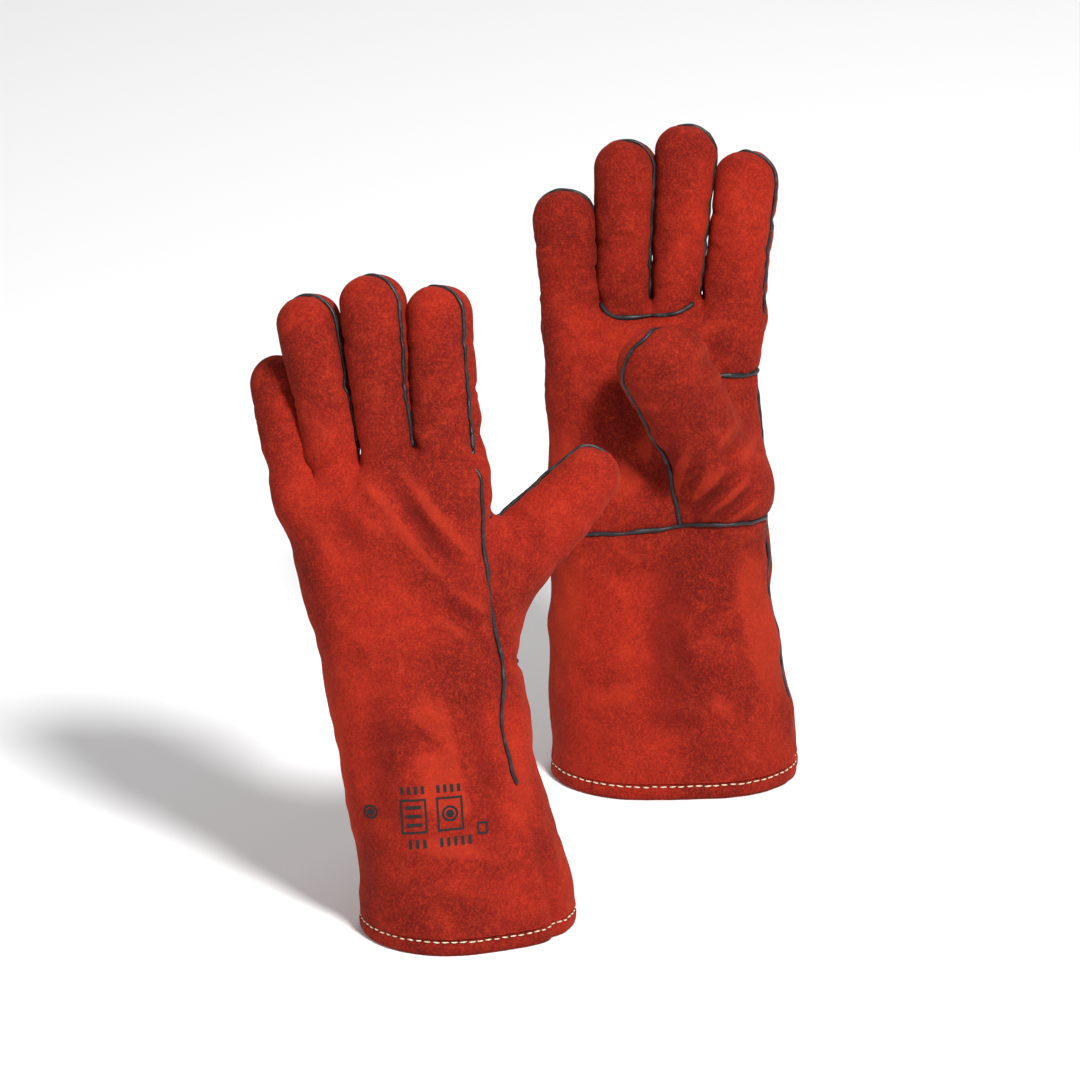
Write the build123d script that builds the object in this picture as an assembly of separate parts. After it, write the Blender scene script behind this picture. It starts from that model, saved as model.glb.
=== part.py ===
"""A pair of leather welding gauntlets, standing on their cuffs.

Each glove is drawn in its own upright frame, in millimetres: X runs across it
towards the thumb, Z runs up it from the hem, and Y is its thickness, with +Y
away from the viewer. The right glove turns its palm to -Y, the left one its
back. The finished glove leans back a little and is cut flat at the floor.

A digit (finger or thumb) and the wrist have a hinge frame: X is the hinge,
Z points towards the tip, -Y is the palm side, so that turning by a positive
angle about X bends the piece towards the palm.
"""

import os
from math import cos, radians, sin, tan

from build123d import *

# Driving sizes
LEATHER = 1.5  # split leather
LINING = 2.4  # fleece in the hand, canvas in the cuff
PLY_GAP = 0.25  # between leather and lining
SEAM = 1.6  # thickness of a welt strip between two leather edges
SEAM_GAP = 0.1  # from a welt to the leather beside it
BEAD = 1.3  # how far a welt stands out of the seam
FINGER_BEAD = 0.4
HINGE_GAP = 0.4
LEAN = 10.0  # degrees that a glove leans back
WRIST = 132.0  # height of the wrist seam
KNUCKLES = 245.0  # height of the finger hinges
HEM_HEIGHT = 9.0
HEM_FOLD = 1.2  # thickness of the folded leather round the hem
LINING_LIFT = 1.6  # the plies end this far above the floor, inside the hem
GLOVE_GAP = (107.7, 221.0)  # from the right glove's hem centre to the left's

WRIST_BEND = 25.0
FINGER_CURL = 60.0
FINGER_BACK = 10.0
THUMB_REACH = 44.0  # from the thumb's root to its hinge
SOCKET_END = 14.0  # the thumb's socket is made this far past the hinge, then notched
KNUCKLE_CUT = 36.0  # width of each finger's notch in the hand
THUMB_CUT = 60.0  # width of the thumb's notch in its socket
NOTCH_REACH = 90.0  # from a hinge to the outer end of its notch
WING_FOOT = WRIST - 20  # the wing panel's ends, up the hand
WING_TOP = 212.0
FAR = 400.0  # longer than any glove

FINGERS = ("index", "middle", "ring", "little")

# Stations are (height, centre x, half width, half depth, turn about Z).
# Digits are (root, tip centre, radius at the root, radius at the tip).
GLOVES = {
    "right": {
        "place": (0.0, 0.0),
        "palm": -1,
        "stations": [
            (-16.0, 1.0, 67.0, 45.0, 0.0),
            (38.0, -4.0, 61.5, 41.0, 0.0),
            (80.0, -9.0, 58.0, 36.0, 0.0),
            (WRIST, -10.0, 55.5, 30.0, 0.0),
            (169.0, -11.0, 55.0, 28.0, 0.0),
            (211.0, -14.0, 54.5, 24.0, 0.0),
            (KNUCKLES + 6, -14.5, 57.0, 17.5, 0.0),
        ],
        "index": ((26.5, 0, KNUCKLES), (35.5, -3, 311.5), 12.6, 14.2),
        "middle": ((-0.5, 0, KNUCKLES), (4.0, -3, 325.5), 12.6, 14.2),
        "ring": ((-28.0, 0, KNUCKLES), (-27.7, -3, 317.5), 12.6, 14.2),
        "little": ((-55.5, 0, KNUCKLES), (-59.5, -3, 292.0), 12.6, 14.2),
        "thumb": ((26.0, -20, 158), (-9.0, -66, 223), 20.5, 15.5),
        "thumb_curl": 10.0,
        "thumb_back": 24.0,
        "wing_seam": 0.0,
        "piping_end": 40.0,
        "seam_turn": 0.0,
    },
    "left": {
        "place": (-GLOVE_GAP[0], -GLOVE_GAP[1]),
        "palm": 1,
        "stations": [
            (-16.0, 1.0, 57.5, 44.0, 12.0),
            (36.0, -5.7, 54.5, 40.0, 9.0),
            (78.0, -14.5, 51.5, 35.0, 6.0),
            (WRIST, -23.0, 50.5, 30.0, 0.0),
            (167.0, -32.0, 50.5, 28.0, -5.0),
            (219.5, -45.0, 55.0, 24.0, -10.0),
            (KNUCKLES + 6, -54.0, 58.0, 18.5, -12.0),
        ],
        "index": ((-12.0, 0, KNUCKLES), (-15.8, 6, 317.0), 12.6, 14.2),
        "middle": ((-41.5, 1, KNUCKLES), (-50.0, 7, 322.0), 12.6, 14.2),
        "ring": ((-69.5, 7, KNUCKLES), (-81.0, 14, 311.0), 12.6, 14.2),
        "little": ((-98.0, 15, KNUCKLES), (-104.5, 32, 283.0), 12.6, 13.4),
        "thumb": ((6.0, 8, 172), (61.0, 18, 230), 18.5, 14.5),
        "thumb_curl": 40.0,
        "thumb_back": 10.0,
        "wing_seam": -27.0,
        "piping_end": 78.0,
        "seam_turn": -10.0,
    },
}


def glove_place(glove):
    """Where a glove's upright frame goes: leaning back on its own spot."""
    x, y = glove["place"]
    return Location((x, y, 0), (-LEAN, 0, 0))


def hinge_plane(glove, name):
    """The hinge frame of a digit, at its knuckle or part way up the thumb."""
    root, tip, _, _ = glove[name]
    along = (Vector(*tip) - Vector(*root)).normalized()
    at = Vector(*root)
    if name == "thumb":
        at = at + along * THUMB_REACH
    towards_palm = Vector(0, glove["palm"], 0)
    hinge = along.cross(towards_palm)
    return Plane(origin=at, x_dir=hinge, z_dir=along)


def wrist_plane(glove):
    """The hinge frame of the wrist, on the glove's middle line."""
    at = next(s for s in glove["stations"] if s[0] == WRIST)
    hinge = Vector(0, 0, 1).cross(Vector(0, glove["palm"], 0))
    return Plane(origin=(at[1], 0, WRIST), x_dir=hinge, z_dir=(0, 0, 1))


def tube(glove, inset):
    """The gauntlet and hand as one solid, inset from the outer surface."""
    sections = []
    for height, x, half_width, half_depth, turn in glove["stations"]:
        plane = Plane(origin=(x, 0, height)).rotated((0, 0, turn))
        slot = SlotOverall(2 * (half_width - inset), 2 * (half_depth - inset))
        sections.append(plane * slot)
    return loft(sections)


def capsule(reach, root_radius, tip_radius):
    """A tapered rod up Z with a round end."""
    rod = Cone(root_radius, tip_radius, reach, align=(Align.CENTER, Align.CENTER, Align.MIN))
    return rod + Pos(0, 0, reach) * Sphere(tip_radius)


def mitre(curl, back, width, upper):
    """What is cut from a piece so that it can bend about its hinge.

    The notch opens by half of each angle on each side of the hinge. upper is
    True for the piece beyond the hinge, False for the one before it."""
    palm = NOTCH_REACH * tan(radians(curl / 2)) + HINGE_GAP
    dorsal = NOTCH_REACH * tan(radians(back / 2)) + HINGE_GAP
    sign = 1 if upper else -1
    outline = [
        (-NOTCH_REACH, -sign * FAR),
        (-NOTCH_REACH, sign * palm),
        (0, sign * HINGE_GAP),
        (NOTCH_REACH, sign * dorsal),
        (NOTCH_REACH, -sign * FAR),
    ]
    notch = Plane.YZ * make_face(Polyline(outline, close=True))
    return extrude(notch, width / 2, both=True)


def half_space(plane, front=True):
    """A large block on one side of a plane."""
    side = Align.MIN if front else Align.MAX
    block = Box(2 * FAR, 2 * FAR, 2 * FAR, align=(Align.CENTER, Align.CENTER, side))
    return plane.location * block


def digit_pieces(glove, name, curl, back):
    """One finger or the thumb beyond its hinge: two leather halves, the welt
    in the seam between them, and the lining."""
    root, tip, root_radius, tip_radius = glove[name]
    reach = (Vector(*tip) - Vector(*root)).length
    if name == "thumb":
        root_radius += (tip_radius - root_radius) * THUMB_REACH / reach
        reach -= THUMB_REACH

    def ply(inset):
        return capsule(reach, root_radius - inset, tip_radius - inset)

    notch = mitre(curl, back, 4 * root_radius, upper=True)
    inside = LEATHER + PLY_GAP
    leather = ply(0) - ply(LEATHER) - notch
    lining = ply(inside) - ply(inside + LINING) - notch
    seam = Box(FAR, SEAM, FAR)
    around_seam = Box(FAR, SEAM + 2 * SEAM_GAP, FAR)
    halves = leather - around_seam
    welt = (ply(-FINGER_BEAD) - ply(LEATHER)) & seam
    place = glove_place(glove) * hinge_plane(glove, name).location
    back_half = halves & half_space(Plane.XZ, front=False)
    front_half = halves & half_space(Plane.XZ)
    pieces = {
        "back": back_half,
        "front": front_half,
        "lining": lining,
        "welt": welt - notch,
    }
    return {part: place * shape for part, shape in pieces.items()}


def thumb_socket(glove, inset):
    """The fixed part of the thumb: the bulge at its root in the hand, and a
    taper from there to past its hinge."""
    root, tip, root_radius, tip_radius = glove["thumb"]
    length = THUMB_REACH + SOCKET_END
    reach = (Vector(*tip) - Vector(*root)).length
    end_radius = root_radius + (tip_radius - root_radius) * length / reach
    bulge = Sphere(root_radius - inset)
    taper = Cone(
        root_radius - inset,
        end_radius - inset,
        length,
        align=(Align.CENTER, Align.CENTER, Align.MIN),
    )
    return hinge_plane(glove, "thumb").location * Pos(0, 0, -THUMB_REACH) * (bulge + taper)


def body_pieces(glove):
    """The cuff and hand: leather panels, welts, linings and the hem."""
    palm = glove["palm"]
    inside = LEATHER + PLY_GAP
    outer = tube(glove, 0)
    leather_core = tube(glove, LEATHER)
    lining_core = tube(glove, inside)
    cavity = tube(glove, inside + LINING)
    bead = tube(glove, -BEAD)

    thumb_hollow = thumb_socket(glove, LEATHER)
    thumb_room = thumb_socket(glove, inside + LINING)

    # Cutters that let the fingers, thumb and wrist bend.
    over_hand = []
    for name in FINGERS:
        cutter = mitre(FINGER_CURL, FINGER_BACK, KNUCKLE_CUT, upper=False)
        over_hand.append(hinge_plane(glove, name).location * cutter)
    top = Pos(0, 0, KNUCKLES + 2) * Box(FAR, FAR, FAR, align=(Align.CENTER, Align.CENTER, Align.MIN))
    over_hand.append(top)
    thumb_cut = mitre(glove["thumb_curl"], glove["thumb_back"], THUMB_CUT, upper=False)
    over_thumb = hinge_plane(glove, "thumb").location * thumb_cut
    wrist = wrist_plane(glove).location
    under_hand = wrist * mitre(WRIST_BEND, WRIST_BEND, FAR, upper=True)
    over_cuff = wrist * mitre(WRIST_BEND, WRIST_BEND, FAR, upper=False)

    # The side seams lie in one plane through the glove's middle line.
    low, high = glove["stations"][0], glove["stations"][-1]
    rise = Vector(high[1] - low[1], 0, high[0] - low[0])
    turn = radians(glove["seam_turn"])
    across = Vector(cos(turn), sin(turn), 0)
    seam_plane = Plane(origin=(low[1], 0, low[0]), x_dir=across, z_dir=across.cross(rise))
    seam = seam_plane.location * Box(2 * FAR, 2 * FAR, SEAM)
    around_seam = seam_plane.location * Box(2 * FAR, 2 * FAR, SEAM + 2 * SEAM_GAP)
    palm_side = half_space(seam_plane, front=seam_plane.z_dir.Y * palm > 0)
    back_side = half_space(seam_plane, front=seam_plane.z_dir.Y * palm < 0)

    def in_hand(shape):
        shape = shape - under_hand
        for cutter in over_hand:
            shape = shape - cutter
        return shape

    shell = outer - leather_core
    hand = in_hand(shell - around_seam)
    cuff = shell - around_seam - over_cuff

    # The wing panel carries the thumb; a welted seam parts it from the palm.
    def wing_block(margin):
        return Pos(glove["wing_seam"] - margin, 0, WING_FOOT) * Box(
            FAR, FAR, WING_TOP - WING_FOOT + margin, align=(Align.MIN, Align.CENTER, Align.MIN)
        )

    wing_zone = wing_block(0)
    wing_margin = wing_block(SEAM)
    socket = thumb_socket(glove, 0) - thumb_hollow - over_thumb - outer - under_hand
    hand_palm = hand & palm_side
    hand_back = (hand & back_side) - thumb_room
    wing = (hand_palm & wing_zone) - thumb_hollow
    wing = wing + socket
    palm_panel = hand_palm - wing_margin - thumb_socket(glove, -PLY_GAP)
    lining = lining_core - cavity
    hand_lining = in_hand(lining) - thumb_room

    seam_ring = (bead - leather_core) & seam
    piping = half_space(Plane(origin=(0, 0, glove["piping_end"]), z_dir=(0, 0, 1)))
    clear_of_thumb = thumb_socket(glove, -BEAD)
    side_welts = in_hand(seam_ring) - clear_of_thumb
    wing_welts = ((bead - leather_core) & (wing_margin - wing_zone)) & palm_side
    wing_welts = in_hand(wing_welts - around_seam) - clear_of_thumb
    cuff_welts = (seam_ring - over_cuff) & piping

    floor = half_space(Plane.XY)
    above_hem = half_space(Plane(origin=(0, 0, LINING_LIFT), z_dir=(0, 0, 1)))
    place = glove_place(glove)
    hem_ring = place * (tube(glove, -HEM_FOLD) - tube(glove, inside + LINING + HEM_FOLD))
    groove = place * (tube(glove, -PLY_GAP) - tube(glove, inside + LINING + PLY_GAP))
    hem_top = half_space(Plane(origin=(0, 0, HEM_HEIGHT), z_dir=(0, 0, 1)))
    hem = (hem_ring & floor) - hem_top - (groove & above_hem)

    return {
        "hand": {
            "hand_back": place * hand_back,
            "palm": place * palm_panel,
            "thumb_wing": place * wing,
            "hand_lining": place * hand_lining,
            "hand_welts": place * (side_welts + wing_welts),
        },
        "cuff": {
            "cuff_back": (place * (cuff & back_side)) & above_hem,
            "cuff_front": (place * (cuff & palm_side)) & above_hem,
            "cuff_lining": (place * (lining - over_cuff)) & above_hem,
            "cuff_welts": place * cuff_welts,
            "cuff_hem": hem,
        },
    }


def build():
    """Every node of the pair, {body: {node: shape}}, before centring."""
    bodies = {}
    for side, glove in GLOVES.items():
        for body, pieces in body_pieces(glove).items():
            bodies[f"{side}_{body}"] = {f"{side}_{n}": s for n, s in pieces.items()}
        for name in (*FINGERS, "thumb"):
            curl, back = FINGER_CURL, FINGER_BACK
            if name == "thumb":
                curl, back = glove["thumb_curl"], glove["thumb_back"]
            pieces = digit_pieces(glove, name, curl, back)
            bodies[f"{side}_{name}"] = {f"{side}_{name}_{n}": s for n, s in pieces.items()}
    return bodies


def footprint_centre(bodies):
    """The middle of the pair's bounding box, on the floor."""
    shapes = [s for nodes in bodies.values() for s in nodes.values()]
    box = Compound(children=[Compound(s.solids()) for s in shapes]).bounding_box()
    return Vector((box.min.X + box.max.X) / 2, (box.min.Y + box.max.Y) / 2, 0)


def main():
    bodies = build()
    centre = footprint_centre(bodies)
    shift = Location((-centre.X, -centre.Y, 0))
    os.makedirs("parts", exist_ok=True)
    for nodes in bodies.values():
        for name, shape in nodes.items():
            export_step(Compound(shape.solids()).moved(shift), f"parts/{name}.step")
    print("centre", centre)
    return bodies, shift


if __name__ == "__main__":
    main()
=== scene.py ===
"""Looks of a pair of leather welding gauntlets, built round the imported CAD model.

Each glove is shaped in its own upright frame, in millimetres: X runs across
it towards the thumb, Z up it from the hem, Y is its thickness. The leather
skin is one smooth surface found from a distance field of the hand, fingers
and thumb. It gets its seams and folds, and is then parted into panels.
"""

from math import cos, pi, radians, sin

import bmesh
import bpy
import numpy as np
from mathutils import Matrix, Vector
from mathutils.bvhtree import BVHTree


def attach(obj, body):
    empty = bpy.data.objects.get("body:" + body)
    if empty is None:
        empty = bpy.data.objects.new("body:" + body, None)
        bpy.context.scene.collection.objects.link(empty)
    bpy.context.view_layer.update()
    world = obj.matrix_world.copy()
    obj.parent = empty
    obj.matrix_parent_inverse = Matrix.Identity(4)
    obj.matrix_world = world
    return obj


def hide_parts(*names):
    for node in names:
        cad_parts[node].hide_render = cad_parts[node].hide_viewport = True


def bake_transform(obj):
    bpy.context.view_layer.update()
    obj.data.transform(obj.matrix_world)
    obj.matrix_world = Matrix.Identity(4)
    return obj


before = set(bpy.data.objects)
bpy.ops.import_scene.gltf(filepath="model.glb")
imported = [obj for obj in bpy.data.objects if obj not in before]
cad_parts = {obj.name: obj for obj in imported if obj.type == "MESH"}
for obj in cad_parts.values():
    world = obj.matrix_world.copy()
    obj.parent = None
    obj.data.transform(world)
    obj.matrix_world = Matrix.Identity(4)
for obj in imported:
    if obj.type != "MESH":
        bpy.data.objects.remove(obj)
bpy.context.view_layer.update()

# ------------------------ sizes
LEAN = radians(10.0)  # how far a glove leans back
WRIST = 132.0
KNUCKLES = 245.0
CUT_HEIGHT = 9.0  # the hem's fold starts this far above the floor
STEP = 1.5  # size of the skin's faces
LINING_STEP = 3.4
LINING_INSET = 3.6
LINING_CUT = 10.0  # the linings start this far above the floor
DEEPEST = 2.3  # leather sinks no further than this, so that it stays clear of the lining
FINGERS = ("index", "middle", "ring", "little")
DIGITS = (*FINGERS, "thumb")

# Space: the two corners of the box in which the skin is looked for.
# Stations: (height, centre x, half width, half depth, turn in degrees).
# Digits: (root, tip centre, (half width, half depth) at the root and tip, how far it is
# moved along X while its skin is found, so that touching fingers stay apart).
# Slits: the height where the fingers part at x=0, and how it rises along X.
GLOVES = {
    "right": {
        "space": ((-90, -95, -18), (85, 70, 350)),
        "place": (79.123, 100.852),
        "palm": -1,
        "stations": [
            (-20.0, 0.8, 66.5, 47.0, 4.0),
            (38.0, -4.0, 62.0, 42.5, 3.0),
            (80.0, -8.6, 58.8, 36.5, 1.0),
            (132.0, -9.0, 57.0, 30.0, 0.0),
            (169.0, -10.6, 56.0, 27.0, 0.0),
            (211.0, -13.4, 55.4, 22.5, 0.0),
            (238.0, -12.6, 57.6, 17.5, 0.0),
            (262.0, -12.4, 58.4, 15.0, 0.0),
        ],
        "top": (244.0, 0.0),
        "slits": (249.0, 0.0),
        "index": ((28.2, 0, 245.0), (36.3, -3, 315.0), (16.6, 14.0), (15.8, 13.8), 9.0),
        "middle": ((-1.4, 0, 245.0), (4.6, -2, 329.0), (12.8, 13.8), (15.6, 14.2), 3.0),
        "ring": ((-28.0, 0, 245.0), (-27.2, -3, 321.0), (13.6, 13.8), (15.7, 14.0), -3.0),
        "little": ((-56.2, 0, 245.0), (-60.0, -3, 296.0), (14.6, 13.4), (16.3, 13.6), -9.0),
        "thumb": ((25.4, -17, 152), (-9.5, -62, 227), (21.8, 20.5), (23.0, 17.0), 0.0),
    },
    "left": {
        "space": ((-140, -90, -18), (85, 75, 350)),
        "place": (-28.577, -120.148),
        "palm": 1,
        "stations": [
            (-20.0, 1.2, 57.2, 45.5, 24.0),
            (36.0, -5.2, 53.0, 40.5, 17.0),
            (78.0, -15.0, 50.2, 34.5, 9.0),
            (132.0, -25.4, 51.2, 29.5, 0.0),
            (167.0, -33.6, 51.0, 27.0, -5.0),
            (205.0, -42.0, 53.5, 23.0, -9.0),
            (238.0, -49.0, 56.0, 18.0, -11.0),
            (262.0, -56.0, 58.0, 15.5, -12.0),
        ],
        "top": (236.0, 0.22),
        "slits": (253.0, 0.26),
        "index": ((-12.0, 0, 245.0), (-15.9, 6, 316.0), (16.6, 14.0), (16.1, 13.8), 9.0),
        "middle": ((-42.0, 1, 245.0), (-49.8, 7, 321.0), (14.2, 14.0), (16.0, 14.0), 3.0),
        "ring": ((-69.5, 7, 245.0), (-82.6, 13, 310.0), (14.0, 14.0), (15.6, 14.0), -3.0),
        "little": ((-93.5, 13, 245.0), (-97.5, 30, 276.0), (13.2, 12.8), (14.2, 13.0), -7.0),
        "thumb": ((6.0, 8, 172), (61.0, 18, 230), (23.5, 18.5), (15.8, 14.5), 0.0),
    },
}
STRETCH_BELOW = 30.0  # a finger's rod starts this far inside the hand
ROD_TAPER = 70.0  # inside the hand the rod thins out, and would be gone at this depth
SLIT_BLEND = 12.0  # over this height above the slits the fingers are moved apart
FINGER_CUT = 9.0  # along a finger from its knuckle, where its own leather pieces start
THUMB_CUT = 32.0  # the same along a thumb, from its root
# Where leather bends: above and below the wrist, and along a finger and the left thumb.
WRIST_BEND = 24.0
FINGER_BEND = (FINGER_CUT + 0.5, FINGER_CUT + 24.0)
THUMB_BEND = (40.0, 62.0)
# The right thumb lies over its palm, so what is far out of the palm bends first. Its bend starts
# this far in front of the thumb's middle, and runs on by these shares along and in front of it.
LYING_START = 20.0
LYING_RUN = (0.807, 0.59)
LYING_LENGTH = 22.0
# How far a digit's seams are turned towards the back of the hand, on its +hinge and -hinge sides.
TURNS = {
    "right": ((-16, 40), (-6, 40), (-16, 40), (-4, 10), (50, -14)),
    "left": ((-40, 34), (-40, 30), (-40, 26), (-40, 24), (4, -50)),
}
for side, turns in TURNS.items():
    GLOVES[side]["digit_turn"] = dict(zip(DIGITS, turns))
GLOVES["right"]["piping_end"] = 38.0
GLOVES["left"]["piping_end"] = 76.0
# The seam at the foot of the ring and middle fingers.
GLOVES["right"]["crotch_seam"] = [(-28, 251), (-24, 246), (-15, 244), (2, 245), (14, 247), (21, 251)]
GLOVES["left"]["crotch_seam"] = [(-30, 247), (-26, 243), (-15, 241), (2, 243), (14, 245), (21, 249)]
# Folds in the front: (from, to, depth, width), with ends as (from the middle line, height).
GLOVES["right"]["creases"] = [
    ((13, 139), (44, 170), 2.5, 3.4),
    ((25, 139), (52, 160), 1.9, 3.2),
    ((34, 172), (50, 190), 1.7, 3.8),
    ((13, 146), (22, 180), 1.4, 3.4),
    ((-4, 160), (-16, 176), 1.0, 4.5),
    ((0, 18), (8, 138), 2.6, 17.0),
    ((-36, 40), (-26, 130), 1.6, 10.0),
    ((38, 30), (30, 124), 1.4, 9.0),
    ((-34, 118), (-8, 104), 1.2, 5.0),
    ((-40, 150), (-22, 190), 1.6, 8.0),
    ((-6, 142), (10, 196), 1.8, 5.0),
    ((20, 222), (44, 234), 1.3, 4.5),
    ((-52, 236), (-30, 230), 1.0, 4.0),
    ((-50, 38), (40, 30), 0.8, 5.0),
    ((-45, 62), (44, 52), 0.6, 5.0),
    ((-44, 222), (-20, 214), 0.8, 5.0),
]
GLOVES["left"]["creases"] = [
    ((2, 240), (24, 204), 1.7, 4.5),
    ((10, 222), (36, 186), 2.0, 5.0),
    ((-30, 228), (-10, 190), 1.5, 7.0),
    ((18, 176), (40, 156), 1.6, 4.5),
    ((-34, 30), (-20, 150), 1.8, 12.0),
    ((24, 40), (22, 128), 1.5, 8.0),
    ((-30, 110), (10, 96), 1.0, 6.0),
    ((-18, 232), (-2, 214), 0.9, 4.5),
    ((-44, 150), (-20, 138), 0.8, 6.0),
    ((-46, 40), (44, 30), 0.8, 5.0),
    ((-40, 66), (42, 50), 0.6, 6.0),
]
# Side seams: (height, angle in degrees from the glove's X or -X axis, towards +Y).
GLOVES["right"]["side_seams"] = {
    "thumb": [(-20, -4), (60, -6), (132, -10), (200, -4), (245, 0)],
    "little": [(-20, 4), (132, 4), (245, 0)],
}
GLOVES["left"]["side_seams"] = {
    "thumb": [(-20, -38), (60, -44), (118, -52), (132, -44), (200, -36), (245, -28)],
    "little": [(-20, 10), (132, 14), (245, 20)],
}


def unit(v):
    v = np.asarray(v, float)
    return v / np.linalg.norm(v, axis=-1, keepdims=True)


def smooth_step(t):
    t = np.clip(t, 0, 1)
    return t * t * (3 - 2 * t)


def row_turn(vectors):
    """Directions in a glove's frame to the row frame."""
    x, y, z = np.moveaxis(np.asarray(vectors, float), -1, 0)
    return np.stack([x, y * cos(LEAN) + z * sin(LEAN), z * cos(LEAN) - y * sin(LEAN)], -1)


def to_row(glove, points):
    """Points in a glove's frame, in mm, to the row frame in metres."""
    return (row_turn(points) + [*glove["place"], 0.0]) / 1000.0


# ------------------------ field
def spline(knots, values, at):
    """A smooth curve through values at the knots, flat beyond both ends."""
    knots = np.asarray(knots, float)
    values = np.asarray(values, float)
    slopes = np.gradient(values, knots)
    i = np.clip(np.searchsorted(knots, at) - 1, 0, len(knots) - 2)
    h = knots[i + 1] - knots[i]
    t = np.clip((at - knots[i]) / h, 0, 1)
    a, b = values[i], values[i + 1]
    ma, mb = slopes[i] * h, slopes[i + 1] * h
    return (
        a * (2 * t**3 - 3 * t**2 + 1)
        + b * (3 * t**2 - 2 * t**3)
        + ma * (t**3 - 2 * t**2 + t)
        + mb * (t**3 - t**2)
    )


def smooth_min(a, b, k):
    h = np.maximum(k - np.abs(a - b), 0) / k
    return np.minimum(a, b) - h * h * k / 4


def opening(glove, name, p):
    """How far a digit's points are moved along X while its skin is found."""
    height, rise = glove["slits"]
    return smooth_step((p[:, 2] - height - rise * p[:, 0]) / SLIT_BLEND) * glove[name][4]


def closed(glove, name, p):
    """Points on a moved finger, brought back to where it really is."""
    return p - np.array([1.0, 0, 0]) * opening(glove, name, p)[:, None]


def digit_axes(glove, name):
    """A digit's own frame: origin, hinge X, palm-back Y, along Z, and reach."""
    root, tip = (np.array(v, float) for v in glove[name][:2])
    along = tip - root
    reach = np.linalg.norm(along)
    along /= reach
    hinge = unit(np.cross(along, [0, glove["palm"], 0]))
    back = np.cross(along, hinge)
    return root, hinge, back, along, reach


def section(glove, z):
    """The hand at heights z: centre x, half width, half depth and turn in radians."""
    s = np.array(glove["stations"], float)
    centre, width, depth, turn = (spline(s[:, 0], s[:, k], z) for k in (1, 2, 3, 4))
    return centre, width, depth, np.radians(turn)


def middle(glove, z):
    return section(glove, np.asarray(z, float))[0]


def body_field(glove, p):
    """The cuff and hand without digits, negative inside, roughly in mm."""
    z = p[:, 2]
    cx, hw, hd, turn = section(glove, z)
    dx, dy = p[:, 0] - cx, p[:, 1]
    u = dx * np.cos(turn) + dy * np.sin(turn)
    v = -dx * np.sin(turn) + dy * np.cos(turn)
    # between a slot and an ellipse
    slot = np.hypot(np.maximum(np.abs(u) - (hw - hd), 0), v) - hd
    e = np.sqrt((u / hw) ** 2 + (v / hd) ** 2)
    oval = (e - 1) * np.minimum(hw, hd) * (0.25 + 0.75 * e / (e + 0.2))
    side = 0.72 * slot + 0.28 * oval
    height, tilt = glove["top"]
    over = z - height - tilt * (p[:, 0] - cx)
    return -smooth_min(-side, -over, 16.0)


def digit_field(glove, name, p):
    """One digit as a rod with a round tip, negative inside, roughly in mm."""
    root, hinge, back, along, reach = digit_axes(glove, name)
    a0, a1 = glove[name][2], glove[name][3]
    q = closed(glove, name, p) - root
    x, y, t = q @ hinge, q @ back, q @ along
    start = 0.0 if name == "thumb" else -STRETCH_BELOW
    s = np.clip(t, start, reach)
    f = np.clip(s / reach, 0, 1)
    inner = 1.0 + np.minimum(s, 0) / ROD_TAPER
    half_width = (a0[0] + (a1[0] - a0[0]) * f) * inner
    half_depth = (a0[1] + (a1[1] - a0[1]) * f) * inner
    over = (t - s) / np.sqrt(half_width * half_depth)
    e = np.sqrt((x / half_width) ** 2 + (y / half_depth) ** 2 + over**2)
    return (e - 1) * np.minimum(half_width, half_depth)


def hand_field(glove, p):
    """The cuff, hand and fingers, negative inside, roughly in mm."""
    fingers = None
    for name in FINGERS:
        d = digit_field(glove, name, p)
        fingers = d if fingers is None else smooth_min(fingers, d, 3.0)
    return smooth_min(body_field(glove, p), fingers, 12.0)


def field(glove, p):
    return smooth_min(hand_field(glove, p), digit_field(glove, "thumb", p), 15.0)


def gradient(f, p, h=0.4):
    g = np.empty_like(p)
    for k in range(3):
        e = np.zeros(3)
        e[k] = h
        g[:, k] = (f(p + e) - f(p - e)) / (2 * h)
    return g


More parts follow.
